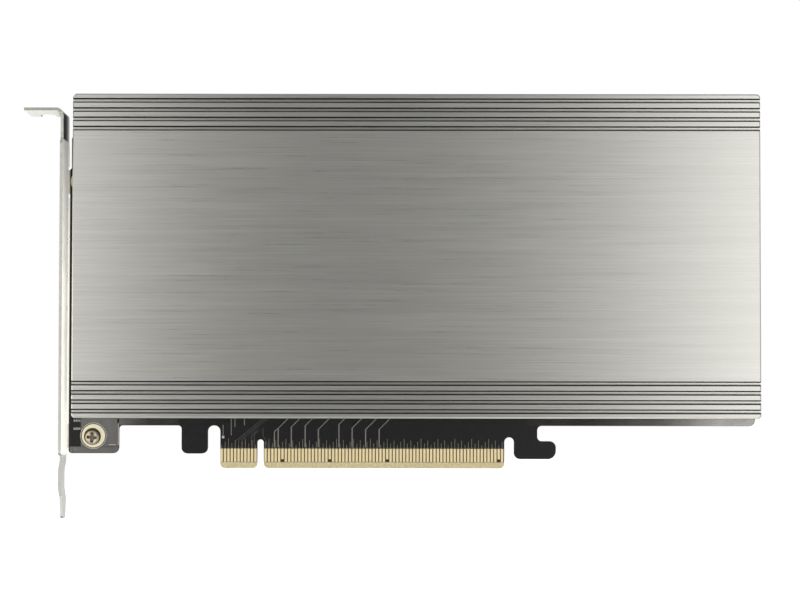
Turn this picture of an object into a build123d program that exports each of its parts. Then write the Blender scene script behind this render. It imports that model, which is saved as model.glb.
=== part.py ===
from build123d import *
import math
import os

# An add-in card that carries four storage modules under one metal cover.
# The card stands upright: +Z is up, the edge connector points down, the slot
# bracket is at -X, and the covered side looks towards -Y. The origin is the
# middle of the key notch, on the lower edge of the contacts, half way through
# the thickness of the board. All sizes are in millimetres.

small_gap = 0.05
cut_margin = 1.0

# Module bays. A module is pushed into its socket towards +X, and its other
# end lies on a standoff towards the bracket.
bay_count = 4
bay_pitch = 22.8
bay_middle_z = 62.2
module_width = 22.0
module_end_x = 60.0
longest_module = 110.0
shorter_modules = (60.0, 80.0)
module_underside = 2.2
module_thickness = 0.8
standoff_x = module_end_x - longest_module

# Board
board_thickness = 1.57
board_face = board_thickness / 2
board_past_standoff = 6.85
board_left = standoff_x - board_past_standoff
board_right = 146.3
board_top = 111.15
board_bottom = 12.6
board_corner_radius = 1.0
corner_cut_width = 1.6
corner_cut_bottom = 88.9
corner_cut_radius = 0.6

left_tab_share = 0.447
left_tab_bottom = 4.35
left_tab_corner_radius = 1.8
middle_tab_width = 7.8
middle_tab_bottom = 4.3
arch_width = 3.45

short_tongue_width = 11.2
key_notch_width = 1.9
key_notch_top = 8.5
long_tongue_width = 71.2
tongue_corner_radius = 1.0
tongue_bevel_height = 1.8
tongue_bevel_depth = 0.45
middle_tab_right = -key_notch_width / 2 - short_tongue_width - arch_width
middle_tab_left = middle_tab_right - middle_tab_width
left_tab_width = (middle_tab_left - board_left) * left_tab_share

hook_notch_width = 2.85
hook_notch_top = 9.2
hook_neck_width = 6.9
hook_length = 12.4
hook_toe_top = 8.1
hook_bottom = 2.8
hook_corner_radius = 1.3
notch_rounding = 0.98

# Edge contacts, counted from the bracket's end
contact_spacing = 1.0
contact_width = 0.7
contact_thickness = 0.05
contact_bottom = 1.9
contact_top = 5.8
short_contact_bottom = 2.7
contact_count = 82
contacts_before_key = 11
contact_beside_key = 1.5
short_contacts = (17, 31, 48, 81)

# Module sockets
socket_depth = 8.7
socket_bite = 4.0
socket_front_x = module_end_x - socket_bite
socket_width = 21.9
socket_height = 4.2
socket_mouth_width = 20.1
socket_mouth_height = 1.5
socket_key_offset = 6.125
socket_key_width = 1.1
socket_chamfer = 0.4
socket_lead_row_width = 18.5
socket_lead_length = 0.8
socket_lead_height = 0.25

# Standoffs
standoff_width = 5.5
standoff_neck_radius = 1.7
standoff_thread_radius = 0.85

# Thermal pads
pad_thickness = 1.5
pad_width = 20.0
pad_end_clearance = 4.0
pad_left = standoff_x + pad_end_clearance
pad_right = socket_front_x - pad_end_clearance
pad_height_above_board = 4.9

# Cover
cover_setback = 2.25
cover_overhang = 0.3
cover_left = board_left + cover_setback
cover_right = board_right + cover_overhang
cover_bottom = 14.75
cover_top = 109.7
cover_depth = 14.0
cover_plate = 3.2
cover_wall = 1.7
cover_corner_radius = 1.1
cover_edge_chamfer = 0.35
groove_width = 1.4
groove_depth = 0.9
groove_spacing = 2.72
groove_count = 4
first_groove_inset = 2.0
land_margin = 2.0
lands_end_x = pad_right + land_margin
low_land_height = 1.5
boss_radius = 2.25
boss_hole_radius = 1.25
boss_hole_depth = 7.0
left_boss_end_distance = 2.3
left_boss_inset = 2.7
left_boss_x = cover_left + left_boss_end_distance
right_boss_end_distance = 3.6
right_boss_inset = 3.4
right_boss_x = cover_right - right_boss_end_distance

# Slot bracket
bracket_thickness = 0.86
bracket_board_gap = 0.54
bracket_inner_x = board_left - bracket_board_gap
bracket_outer_x = bracket_inner_x - bracket_thickness
bracket_width = 18.42
bracket_front_y = -15.5
bracket_back_y = bracket_front_y + bracket_width
bracket_height = 120.02
tongue_length = 18.4
blade_below_tab = 0.47
blade_bottom = left_tab_bottom - blade_below_tab
bracket_foot = blade_bottom - tongue_length
bracket_top = bracket_foot + bracket_height
flange_reach = 11.43
flange_notch_width = 4.42
flange_notch_depth = 6.5
flange_notch_offset = 5.2
bend_inner_radius = 1.14
neck_inset = 1.55
neck_length = 8.5
neck_relief = 1.3
neck_bottom = bracket_top - neck_length
shoulder_drop = 1.7
shoulder_radius = 0.6
blade_corner_radius = 1.5
tongue_width = 10.19
tongue_tip_width = 5.6
tongue_tip_length = 6.3
tongue_root_radius = 0.4
joggle = 0.5
joggle_slope = 3.1
joggle_run = 4.9
joggle_drop = 1.5
joggle_start_z = blade_bottom - joggle_drop
joggle_radius = 3.0
ear_half_height = 3.6
ear_length = 12.2
ear_corner_radius = 1.5
lower_ear_height = 5.18
upper_ear_least_drop = 20.0
lower_screw_share = 0.4916
upper_screw_inset = 3.65
ear_relief_width = 1.0
ear_relief_depth = 0.6
light_hole_radius = 0.8
light_hole_y = -1.9

# Screws
bracket_screw_radius = 1.45
bracket_screw_head_radius = 2.45
bracket_screw_head_height = 1.7
bracket_screw_clearance_radius = 1.65
bracket_thread_radius = 1.5
bracket_screw_tip = 0.8
cover_screw_radius = 1.2
cover_screw_head_radius = 2.2
cover_screw_head_height = 1.5
cover_screw_reach = 6.0
cover_screw_clearance_radius = 1.4
recess_arm = 0.7
recess_share = 0.58
recess_depth_share = 0.6
head_chamfer_share = 0.35

# Plated rings
ring_thickness = 0.05
ring_radius = 3.45
ring_hole_radius = 1.75
spare_hole_radius = 1.75

# Parts of the power supply and the clock
inductor_size = 7.0
inductor_height = 4.0
inductor_chamfer = 0.9
inductor_x = 84.0
regulator_size = 5.0
regulator_height = 0.9
regulator_x = 75.5
bulk_length = 7.3
bulk_width = 4.3
bulk_height = 2.9
bulk_taper = 0.25
bulk_columns = 2
bulk_column_spacing = 9.6
bulk_row_offset = 4.4
bulk_x = 98.5
ceramic_length = 2.0
ceramic_width = 1.25
ceramic_height = 1.2
ceramic_rows = 3
ceramic_columns = 2
ceramic_row_spacing = 3.0
ceramic_column_spacing = 4.0
ceramic_x = 114.0
clock_length = 6.4
clock_width = 5.0
clock_height = 1.1
clock_x = 126.0
light_length = 1.6
light_width = 0.8
light_height = 0.8
light_behind_cover = 0.1
light_spacing = 10.0


def bay_levels():
    """Heights of the middles of the module bays."""
    return even_steps(bay_middle_z, bay_count, bay_pitch)


def rounded_outline(corners):
    """A closed face from corners given as across, up, rounding radius."""
    edges = []
    starts = []
    ends = []
    for number, (across, up, radius) in enumerate(corners):
        corner = Vector(across, up)
        before = Vector(*corners[number - 1][:2]) - corner
        after = Vector(*corners[(number + 1) % len(corners)][:2]) - corner
        before = before.normalized()
        after = after.normalized()
        half_angle = math.radians(before.get_angle(after)) / 2
        if radius == 0:
            starts.append(corner)
            ends.append(corner)
            continue
        along = radius / math.tan(half_angle)
        start = corner + before * along
        end = corner + after * along
        inward = (before + after).normalized()
        middle = corner + inward * (radius / math.sin(half_angle) - radius)
        edges.append(ThreePointArc(start, middle, end))
        starts.append(start)
        ends.append(end)
    for number, end in enumerate(ends):
        edges.append(Line(end, starts[(number + 1) % len(starts)]))
    return make_face(Wire(Curve() + edges).edges())


def plate(face, front, back):
    """A flat piece from a face drawn in X and Z, between two values of Y."""
    return extrude(Plane.XZ.offset(-back) * face, back - front)


def block(x_range, y_range, z_range):
    """A box between two values on each axis."""
    low = Vector(x_range[0], y_range[0], z_range[0])
    high = Vector(x_range[1], y_range[1], z_range[1])
    size = high - low
    middle = (high + low) * 0.5
    return Pos(middle) * Box(size.X, size.Y, size.Z)


def round_bar(x, z, radius, front, back):
    """A cylinder along Y between two values of Y."""
    return Pos(x, (front + back) / 2, z) * Rot(90, 0, 0) * Cylinder(radius, back - front)


def even_steps(middle, count, step):
    """Places spread evenly about a middle."""
    return [middle + (number - (count - 1) / 2) * step for number in range(count)]


def boss_places():
    """Places of the cover's four bosses, in X and Z."""
    places = []
    for x, inset in ((left_boss_x, left_boss_inset), (right_boss_x, right_boss_inset)):
        places += [(x, cover_bottom + inset), (x, cover_top - inset)]
    return places


def ear_levels():
    """Heights of the two ears: one on the left tab, one high up between two bays."""
    between_bays = even_steps(bay_middle_z, bay_count - 1, bay_pitch)
    highest = bracket_top - upper_ear_least_drop
    upper = max(level for level in between_bays if level <= highest)
    return left_tab_bottom + lower_ear_height, upper


def light_levels():
    """Heights of the four status lights."""
    return even_steps(bay_middle_z, bay_count, light_spacing)


def bracket_screw_places():
    """Places of the two screws that hold the bracket, in X and Z."""
    lower_x = board_left + left_tab_width * lower_screw_share
    upper_x = board_left + upper_screw_inset
    lower_z, upper_z = ear_levels()
    return [(lower_x, lower_z), (upper_x, upper_z)]


def spare_hole_places():
    """Places of the holes for shorter modules, in X and Z."""
    return [(module_end_x - length, z) for length in shorter_modules for z in bay_levels()]


def board_outline():
    """The board's edge, from the upper left corner round by the contacts."""
    corner = board_corner_radius
    half_key = key_notch_width / 2
    key_radius = half_key * notch_rounding
    short_left = -half_key - short_tongue_width
    arch_radius = arch_width / 2 * notch_rounding
    long_right = half_key + long_tongue_width
    hook_left = long_right + hook_notch_width
    notch_radius = hook_notch_width / 2 * notch_rounding
    neck_right = hook_left + hook_neck_width
    toe_right = hook_left + hook_length
    tip = tongue_corner_radius
    hook = hook_corner_radius
    return rounded_outline(
        [
            (board_left + corner_cut_width, board_top, corner),
            (board_left + corner_cut_width, corner_cut_bottom, corner_cut_radius),
            (board_left, corner_cut_bottom, corner_cut_radius),
            (board_left, left_tab_bottom, corner),
            (board_left + left_tab_width, left_tab_bottom, left_tab_corner_radius),
            (board_left + left_tab_width, board_bottom, corner),
            (middle_tab_left, board_bottom, corner),
            (middle_tab_left, middle_tab_bottom, corner),
            (middle_tab_right, middle_tab_bottom, corner),
            (middle_tab_right, board_bottom, arch_radius),
            (short_left, board_bottom, arch_radius),
            (short_left, 0, tip),
            (-half_key, 0, tip),
            (-half_key, key_notch_top, key_radius),
            (half_key, key_notch_top, key_radius),
            (half_key, 0, tip),
            (long_right, 0, tip),
            (long_right, hook_notch_top, notch_radius),
            (hook_left, hook_notch_top, notch_radius),
            (hook_left, hook_bottom, hook),
            (toe_right, hook_bottom, hook),
            (toe_right, hook_toe_top, hook),
            (neck_right, hook_toe_top, hook),
            (neck_right, board_bottom, hook),
            (board_right, board_bottom, corner),
            (board_right, board_top, corner),
        ]
    )


def circuit_board():
    """The laminate with its tongues, bevelled lower edge and holes."""
    board = plate(board_outline(), -board_face, board_face)
    tongues = (-key_notch_width - short_tongue_width, key_notch_width + long_tongue_width)
    for side in (-1, 1):
        slope = Polyline(
            (side * board_face, tongue_bevel_height),
            (side * (board_face - tongue_bevel_depth), 0),
            (side * (board_face - tongue_bevel_depth), -cut_margin),
            (side * (board_face + cut_margin), -cut_margin),
            (side * (board_face + cut_margin), tongue_bevel_height),
            close=True,
        )
        wedge = Plane.YZ.offset(tongues[0]) * make_face(slope)
        board -= extrude(wedge, tongues[1] - tongues[0])
    holes = [(x, z, bracket_screw_clearance_radius) for x, z in bracket_screw_places()]
    holes += [(x, z, cover_screw_clearance_radius) for x, z in boss_places()]
    holes += [(x, z, spare_hole_radius) for x, z in spare_hole_places()]
    holes += [(standoff_x, z, standoff_neck_radius + small_gap) for z in bay_levels()]
    for x, z, radius in holes:
        board -= round_bar(x, z, radius, -board_thickness, board_thickness)
    return board


def contact_x(number):
    """The middle of a contact, counted from the bracket's end."""
    if number <= contacts_before_key:
        return -contact_beside_key - (contacts_before_key - number) * contact_spacing
    return contact_beside_key + (number - contacts_before_key - 1) * contact_spacing


def edge_contacts(side):
    """One face's row of contacts; side is -1 in front and 1 behind."""
    pads = []
    for number in range(1, contact_count + 1):
        middle = contact_x(number)
        foot = short_contact_bottom if number in short_contacts else contact_bottom
        faces = sorted((side * board_face, side * (board_face + contact_thickness)))
        pads.append(
            block(
                (middle - contact_width / 2, middle + contact_width / 2),
                faces,
                (foot, contact_top),
            )
        )
    return Compound(children=pads)


def groove_levels():
    """Heights of the middles of the grooves in the cover's face."""
    levels = []
    for number in range(groove_count):
        step = first_groove_inset + number * groove_spacing
        levels.append(cover_bottom + step)
        levels.append(cover_top - step)
    return levels


def heatsink_cover():
    """A grooved extruded plate with two long walls and raised lands inside."""
    front = -board_face - cover_depth
    plate_back = front + cover_plate
    body = block((cover_left, cover_right), (front, -board_face), (cover_bottom, cover_top))
    upright = body.edges().filter_by(Axis.Y)
    body = fillet(upright, cover_corner_radius)
    body = chamfer(body.faces().sort_by(Axis.Y)[0].edges(), cover_edge_chamfer)
    body -= block(
        (cover_left - cut_margin, cover_right + cut_margin),
        (plate_back, 0),
        (cover_bottom + cover_wall, cover_top - cover_wall),
    )
    land_face = -board_face - pad_height_above_board - pad_thickness
    for z in bay_levels():
        land = (z - pad_width / 2, z + pad_width / 2)
        body += block((cover_left, lands_end_x), (plate_back, land_face), land)
        low = (plate_back, plate_back + low_land_height)
        body += block((lands_end_x, cover_right), low, land)
    for x, z in boss_places():
        wall_z = cover_bottom + cover_wall if z < bay_middle_z else cover_top - cover_wall
        web = block(
            (x - boss_radius, x + boss_radius), (plate_back, -board_face), sorted((z, wall_z))
        )
        body += round_bar(x, z, boss_radius, plate_back, -board_face) + web
        body -= round_bar(x, z, boss_hole_radius, -board_face - boss_hole_depth, 0)
    length = (cover_left - cut_margin, cover_right + cut_margin)
    radius = groove_width / 2
    floor = front + groove_depth - radius
    for z in groove_levels():
        section = Pos(floor, z) * Circle(radius)
        section += Pos(floor - cut_margin, z) * Rectangle(2 * cut_margin, groove_width)
        body -= extrude(Plane.YZ.offset(length[0]) * section, length[1] - length[0])
    return body


def bracket_profile():
    """The folded sheet seen from the covered side, as a face in X and Z."""
    under = bracket_top - bracket_thickness
    tip = bracket_inner_x - flange_reach
    outer_bend = bend_inner_radius + bracket_thickness
    start = joggle_start_z
    out = start - joggle_slope
    stay = out - joggle_run
    back = stay - joggle_slope
    bend = joggle_radius
    return rounded_outline(
        [
            (tip, under, 0),
            (tip, bracket_top, 0),
            (bracket_inner_x, bracket_top, outer_bend),
            (bracket_inner_x, start, bend),
            (bracket_inner_x - joggle, out, bend),
            (bracket_inner_x - joggle, stay, bend),
            (bracket_inner_x, back, bend),
            (bracket_inner_x, bracket_foot, 0),
            (bracket_outer_x, bracket_foot, 0),
            (bracket_outer_x, back, bend),
            (bracket_outer_x - joggle, stay, bend),
            (bracket_outer_x - joggle, out, bend),
            (bracket_outer_x, start, bend),
            (bracket_outer_x, under, bend_inner_radius),
        ]
    )


def bracket_front_outline():
    """The flat sheet's outline, as a face in Y and Z."""
    middle = (bracket_front_y + bracket_back_y) / 2
    half = tongue_width / 2
    tip = tongue_tip_width / 2
    neck_front = bracket_front_y + neck_inset
    neck_back = bracket_back_y - neck_inset
    shoulder = neck_bottom - shoulder_drop
    relief = bracket_top - neck_relief
    taper = bracket_foot + tongue_tip_length
    corner = blade_corner_radius
    root = tongue_root_radius
    return rounded_outline(
        [
            (bracket_front_y, bracket_top + cut_margin, 0),
            (bracket_front_y, relief, 0),
            (neck_front, relief, 0),
            (neck_front, neck_bottom, 0),
            (bracket_front_y, shoulder, shoulder_radius),
            (bracket_front_y, blade_bottom, corner),
            (middle - half, blade_bottom, root),
            (middle - half, taper, corner),
            (middle - tip, bracket_foot, corner),
            (middle + tip, bracket_foot, corner),
            (middle + half, taper, corner),
            (middle + half, blade_bottom, root),
            (bracket_back_y, blade_bottom, corner),
            (bracket_back_y, shoulder, shoulder_radius),
            (neck_back, neck_bottom, 0),
            (neck_back, relief, 0),
            (bracket_back_y, relief, 0),
            (bracket_back_y, bracket_top + cut_margin, 0),
        ]
    )


def flange_notch():
    """The open notch in the flange that the chassis screw goes through."""
    radius = flange_notch_width / 2
    x = bracket_outer_x - flange_notch_offset
    end = bracket_back_y - flange_notch_depth + radius
    length = bracket_back_y + cut_margin - end
    notch = Pos(x, end) * Circle(radius)
    notch += Pos(x, end + length / 2) * Rectangle(flange_notch_width, length)
    height = bracket_thickness + 2 * cut_margin
    return extrude(Plane.XY.offset(bracket_top - height + cut_margin) * notch, height)


def blade_openings():
    """The light holes and the cuts round the folded ears, as a flat drawing in Y and Z."""
    drawing = Sketch()
    for z in light_levels():
        drawing += Pos(light_hole_y, z) * Circle(light_hole_radius)
    back = bracket_back_y + cut_margin
    fold_back = board_face + bracket_thickness
    relief_start = board_face - ear_relief_depth
    cut_height = 2 * (ear_half_height + ear_relief_width)
    for z in ear_levels():
        behind = Rectangle(back - fold_back, cut_height)
        drawing += Pos((fold_back + back) / 2, z) * behind
        for side in (-1, 1):
            relief = Rectangle(back - relief_start, ear_relief_width)
            relief_z = z + side * (ear_half_height + ear_relief_width / 2)
            drawing += Pos((relief_start + back) / 2, relief_z) * relief
    return drawing


def slot_bracket():
    """The folded steel bracket with its flange, notch, light holes, ears and tongue."""
    sheet = plate(bracket_profile(), bracket_front_y, bracket_back_y)
    reach = flange_reach + bracket_thickness
    flat = Plane.YZ.offset(bracket_inner_x - reach) * bracket_front_outline()
    sheet = sheet & extrude(flat, reach + cut_margin)
    sheet -= flange_notch()
    openings = Plane.YZ.offset(bracket_outer_x - cut_margin) * blade_openings()
    sheet -= extrude(openings, bracket_thickness + 2 * cut_margin)
    for x, z in bracket_screw_places():
        sheet += bracket_ear(z)
        sheet -= round_bar(x, z, bracket_thread_radius, 0, 2 * board_thickness)
    return sheet


def bracket_ear(level):
    """One tab at the blade's edge, folded flat against the back of the board."""
    end = bracket_outer_x + ear_length
    tab = rounded_outline(
        [
            (bracket_outer_x, level - ear_half_height, 0),
            (end, level - ear_half_height, ear_corner_radius),
            (end, level + ear_half_height, ear_corner_radius),
            (bracket_outer_x, level + ear_half_height, 0),
        ]
    )
    ear = plate(tab, board_face, board_face + bracket_thickness)
    fold = ear.edges().filter_by(Axis.Z).sort_by(Axis.X)[:2].sort_by(Axis.Y)[-1]
    return fillet(fold, bracket_thickness * notch_rounding)


def screw(x, z, shank_radius, head_radius, head_height, seat, tip):
    """A cross-recessed pan-head screw along Y; the head is outside the seat."""
    outward = -1 if seat < tip else 1
    shank = round_bar(x, z, shank_radius, min(seat, tip), max(seat, tip))
    head_top = seat + outward * head_height
    head = round_bar(x, z, head_radius, min(seat, head_top), max(seat, head_top))
    rim = head.edges().filter_by(GeomType.CIRCLE).sort_by(Axis.Y)
    rim = rim[0] if outward < 0 else rim[-1]
    head = chamfer(rim, head_height * head_chamfer_share)
    arm = head_radius * recess_share
    half = recess_arm / 2
    recess_floor = head_top - outward * head_height * recess_depth_share
    deep = sorted((head_top + outward * cut_margin, recess_floor))
    head -= block((x - arm, x + arm), deep, (z - half, z + half))
    head -= block((x - half, x + half), deep, (z - arm, z + arm))
    return shank + head


def bracket_screws():
    seat = -board_face - ring_thickness
    tip = board_face + bracket_thickness + bracket_screw_tip
    return Compound(
        children=[
            screw(
                x,
                z,
                bracket_screw_radius,
                bracket_screw_head_radius,
                bracket_screw_head_height,
                seat,
                tip,
            )
            for x, z in bracket_screw_places()
        ]
    )


def cover_screws():
    return Compound(
        children=[
            screw(
                x,
                z,
                cover_screw_radius - small_gap,
                cover_screw_head_radius,
                cover_screw_head_height,
                board_face,
                -board_face - cover_screw_reach,
            )
            for x, z in boss_places()
        ]
    )


def plated_rings():
    """The flat gold rings that the bracket screws' heads press on."""
    top = -board_face - ring_thickness
    rings = []
    for x, z in bracket_screw_places():
        hole = round_bar(x, z, ring_hole_radius, top - cut_margin, 0)
        rings.append(round_bar(x, z, ring_radius, top, -board_face) - hole)
    return Compound(children=rings)


def m2_socket(level):
    """A low housing with a keyed mouth that looks towards the bracket."""
    back_x = socket_front_x + socket_depth
    top = -board_face - socket_height
    half = socket_width / 2
    housing = block(
        (socket_front_x, back_x), (top, -board_face), (level - half, level + half)
    )
    housing = chamfer(housing.faces().sort_by(Axis.Y)[0].edges(), socket_chamfer)
    mouth_middle = -board_face - module_underside - module_thickness / 2
    mouth_half = socket_mouth_width / 2
    mouth = block(
        (socket_front_x - cut_margin, module_end_x + small_gap),
        (mouth_middle - socket_mouth_height / 2, mouth_middle + socket_mouth_height / 2),
        (level - mouth_half, level + mouth_half),
    )
    key = block(
        (socket_front_x, module_end_x + small_gap),
        (top, -board_face),
        (
            level + socket_key_offset - socket_key_width / 2,
            level + socket_key_offset + socket_key_width / 2,
        ),
    )
    return housing - (mouth - key)


def m2_contacts(level):
    """The two rows of soldered leads of one socket, before and behind it."""
    half = socket_lead_row_width / 2
    back_x = socket_front_x + socket_depth
    rows = (
        (socket_front_x - socket_lead_length, socket_front_x),
        (back_x, back_x + socket_lead_length),
    )
    top = -board_face - socket_lead_height
    return Compound(
        children=[block(row, (top, -board_face), (level - half, level + half)) for row in rows]
    )


def m2_standoff(level):
    """A threaded six-sided post with a neck that is pressed into the board."""
    top = -board_face - module_underside
    section = RegularPolygon(standoff_width / 2, 6, major_radius=False)
    post = plate(Pos(standoff_x, level) * section, top, -board_face)
    post += round_bar(standoff_x, level, standoff_neck_radius, -board_face, board_face)
    thread = (top - cut_margin, board_face + cut_margin)
    return post - round_bar(standoff_x, level, standoff_thread_radius, *thread)


def thermal_pad(level):
    lower = -board_face - pad_height_above_board
    half = pad_width / 2
    return block(
        (pad_left, pad_right), (lower - pad_thickness, lower), (level - half, level + half)
    )


def chip(x, z, length, width, height):
    """A low block standing on the covered face of the board."""
    return block(
        (x - length / 2, x + length / 2),
        (-board_face - height, -board_face),
        (z - width / 2, z + width / 2),
    )


def power_inductors():
    parts = []
    for z in bay_levels():
        body = chip(inductor_x, z, inductor_size, inductor_size, inductor_height)
        parts.append(chamfer(body.edges().filter_by(Axis.Y), inductor_chamfer))
    return Compound(children=parts)


def regulator_chips():
    return Compound(
        children=[
            chip(regulator_x, z, regulator_size, regulator_size, regulator_height)
            for z in bay_levels()
        ]
    )


def bulk_capacitors():
    """Moulded blocks with a bevelled top, two by two beside each bay."""
    parts = []
    for level in bay_levels():
        for x in even_steps(bulk_x, bulk_columns, bulk_column_spacing):
            for z in (level - bulk_row_offset, level + bulk_row_offset):
                body = chip(x, z, bulk_length, bulk_width, bulk_height)
                parts.append(chamfer(body.faces().sort_by(Axis.Y)[0].edges(), bulk_taper))
    return Compound(children=parts)


def ceramic_capacitors():
    parts = []
    for level in bay_levels():
        for x in even_steps(ceramic_x, ceramic_columns, ceramic_column_spacing):
            for z in even_steps(level, ceramic_rows, ceramic_row_spacing):
                parts.append(chip(x, z, ceramic_length, ceramic_width, ceramic_height))
    return Compound(children=parts)


def clock_chip():
    return chip(clock_x, bay_middle_z, clock_length, clock_width, clock_height)


def status_leds():
    x = cover_left + light_behind_cover + light_width / 2
    return Compound(
        children=[chip(x, z, light_width, light_length, light_height) for z in light_levels()]
    )


def save(shape, name):
    export_step(shape, f"parts/{name}.step")


os.makedirs("parts", exist_ok=True)
save(circuit_board(), "circuit_board")
save(edge_contacts(-1), "edge_contacts_front")
save(edge_contacts(1), "edge_contacts_back")
save(heatsink_cover(), "heatsink_cover")
save(slot_bracket(), "slot_bracket")
save(bracket_screws(), "bracket_screws")
save(cover_screws(), "cover_screws")
save(plated_rings(), "plated_rings")
for bay_number, bay_level in enumerate(bay_levels(), start=1):
    save(m2_socket(bay_level), f"m2_socket_{bay_number}")
    save(m2_contacts(bay_level), f"m2_contacts_{bay_number}")
    save(m2_standoff(bay_level), f"m2_standoff_{bay_number}")
    save(thermal_pad(bay_level), f"thermal_pad_{bay_number}")
save(power_inductors(), "power_inductors")
save(regulator_chips(), "regulator_chips")
save(bulk_capacitors(), "bulk_capacitors")
save(ceramic_capacitors(), "ceramic_capacitors")
save(clock_chip(), "clock_chip")
save(status_leds(), "status_leds")
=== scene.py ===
"""Looks of a storage module adapter card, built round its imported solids."""

import math

import bmesh
import bpy
from mathutils import Matrix, Vector


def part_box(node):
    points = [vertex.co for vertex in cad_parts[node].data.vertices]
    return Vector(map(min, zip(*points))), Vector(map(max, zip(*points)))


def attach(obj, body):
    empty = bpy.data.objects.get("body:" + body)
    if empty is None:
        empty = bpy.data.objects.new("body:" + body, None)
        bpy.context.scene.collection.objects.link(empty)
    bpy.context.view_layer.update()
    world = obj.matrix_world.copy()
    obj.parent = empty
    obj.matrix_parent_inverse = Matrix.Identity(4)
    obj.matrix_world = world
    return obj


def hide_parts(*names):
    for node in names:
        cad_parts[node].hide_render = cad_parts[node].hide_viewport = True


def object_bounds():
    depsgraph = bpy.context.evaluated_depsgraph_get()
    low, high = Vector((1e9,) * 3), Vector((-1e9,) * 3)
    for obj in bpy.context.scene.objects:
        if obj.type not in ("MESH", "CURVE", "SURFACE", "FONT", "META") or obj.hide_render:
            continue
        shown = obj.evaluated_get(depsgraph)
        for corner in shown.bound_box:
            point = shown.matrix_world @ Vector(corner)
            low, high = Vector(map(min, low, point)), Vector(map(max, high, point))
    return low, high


bl_info = {
    "name": "Storage module adapter card",
    "version": (1, 0, 0),
    "blender": (4, 5, 0),
    "location": "View3D > Sidebar > Card",
    "description": "Models and finishes an expansion card that carries four storage modules under a brushed cover",
    "category": "Object",
}

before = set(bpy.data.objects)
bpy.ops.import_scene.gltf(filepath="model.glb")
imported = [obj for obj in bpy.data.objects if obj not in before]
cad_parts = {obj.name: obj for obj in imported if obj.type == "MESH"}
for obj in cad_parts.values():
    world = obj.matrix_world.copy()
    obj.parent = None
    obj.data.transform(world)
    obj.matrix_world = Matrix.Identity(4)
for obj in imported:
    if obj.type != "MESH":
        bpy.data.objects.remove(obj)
CAD_BOX = [list(corner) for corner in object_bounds()]

MM = 0.001
BODY = "root"
BOARD_FACE = 0.785 * MM
CENTRE_X = 42.67 * MM

# Places on the card, in millimetres, across and up from the middle of the key notch's foot.
BAY_LEVELS = [62.2 + 22.8 * step for step in (-1.5, -0.5, 0.5, 1.5)]
BRACKET_SCREWS = ((-49.5, 9.53), (-53.2, 85.0))
COVER_SCREWS = ((-52.3, 17.45), (-52.3, 107.0), (143.0, 18.15), (143.0, 106.3))
# How far the bracket's screws, and the bands of painted shadow round them, sit off the middles of their rings.
SCREW_SHIFT = (-0.33, -0.48)
BAND_SHIFT = (-0.3, -0.2)
# Above this level the bracket narrows to its neck, and from the next one on it folds over to the flange.
NECK_LEVEL = 97.4
FLANGE_LEVEL = 103.6
# The two tongues reach from the first place to the second, and their contacts end at this level.
TONGUES = (-12.2, 72.2)
CONTACT_TOP = 6.2
CONTACTS = [number - 11.5 if number < 11 else number - 9.5 for number in range(82)]
# The short tongue's outer edge, and the arch beside it: its middle, its level and its radius.
TONGUE_EDGE = -11.92
ARCH_X, ARCH_LEVEL, ARCH_RADIUS = -13.62, 10.9, 1.7
# The step on the board's end: its lower outer corner and its upper inner corner.
END_STEP = ((-56.4, 88.5), (-54.0, 98.2))
# Outer corners of the board that are rounded: across, up, the way out, and the radius.
ROUND_CORNERS = (
    (87.4, 2.8, 1, -1, 2.4),
    (87.4, 8.1, 1, 1, 1.9),
    (75.0, 2.8, -1, -1, 1.8),
    (146.3, 12.6, 1, -1, 1.8),
    (TONGUE_EDGE, 0.0, -1, -1, 1.4),
    (-0.95, 0.0, 1, -1, 1.4),
    (0.95, 0.0, -1, -1, 1.4),
    (72.15, 0.0, 1, -1, 1.4),
    (-23.4, 4.35, -1, -1, 1.7),
    (-15.6, 4.35, 1, -1, 1.7),
    (-41.9, 4.35, 1, -1, 1.4),
)
# Traces in front that bend to the right: across, and height of the bend; the first one ends lower.
UNDER_COVER = 14.7
FRONT_TRACES = ((4.1, 10.8), (5.2, 11.8), (9.1, 12.2), (13.2, 12.6), (17.1, 11.5))
FRONT_TRACES += ((23.2, 13.0), (27.1, 11.9), (31.1, 11.5), (35.1, 11.5))
FIRST_TRACE_END = 11.7
# Upright traces in front: across, and the levels of both ends.
FRONT_UPRIGHTS = ((-11.1, 9.7, 12.8), (-8.7, 9.7, 14.6), (-7.6, 12.2, 14.6), (-4.8, 12.6, 14.6))
# Traces beside the key notch that show only faintly, as points.
FAINT_TRACES = (
    ((-7.5, CONTACT_TOP), (-7.5, 8.0), (0.6, UNDER_COVER)),
    ((-6.5, CONTACT_TOP), (-6.5, 8.2), (1.4, UNDER_COVER)),
    ((-5.5, CONTACT_TOP), (-5.5, 8.4), (2.2, UNDER_COVER)),
    ((-2.7, CONTACT_TOP), (-2.7, 9.7), (-1.2, 11.2)),
    ((-1.9, CONTACT_TOP), (-1.9, 9.9), (-0.6, 11.2)),
    ((2.2, CONTACT_TOP), (2.2, 6.9), (0.7, 9.6), (0.7, 11.8)),
)
# Bundles behind: first contact, first place in the upright run, height of the first bend, and the bay they reach.
BACK_BUNDLES = ((2.5, 44.0, 16.0, 3), (19.5, 48.5, 14.0, 2), (36.5, 53.0, 12.0, 1), (51.5, 57.5, 10.0, 0))
BUNDLE_LINES = 8
BUNDLE_STEP, RUN_STEP = 1.5, 0.5
# Copper planes in front, from the lower left corner to the upper right one.
COPPER_AREAS = (
    ((-53.2, 6.2), (-42.0, UNDER_COVER)),
    ((-56.5, 4.45), (-42.0, 6.3)),
    ((-42.4, 12.8), (-24.2, UNDER_COVER)),
    ((79.0, 12.65), (146.15, UNDER_COVER)),
)
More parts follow.
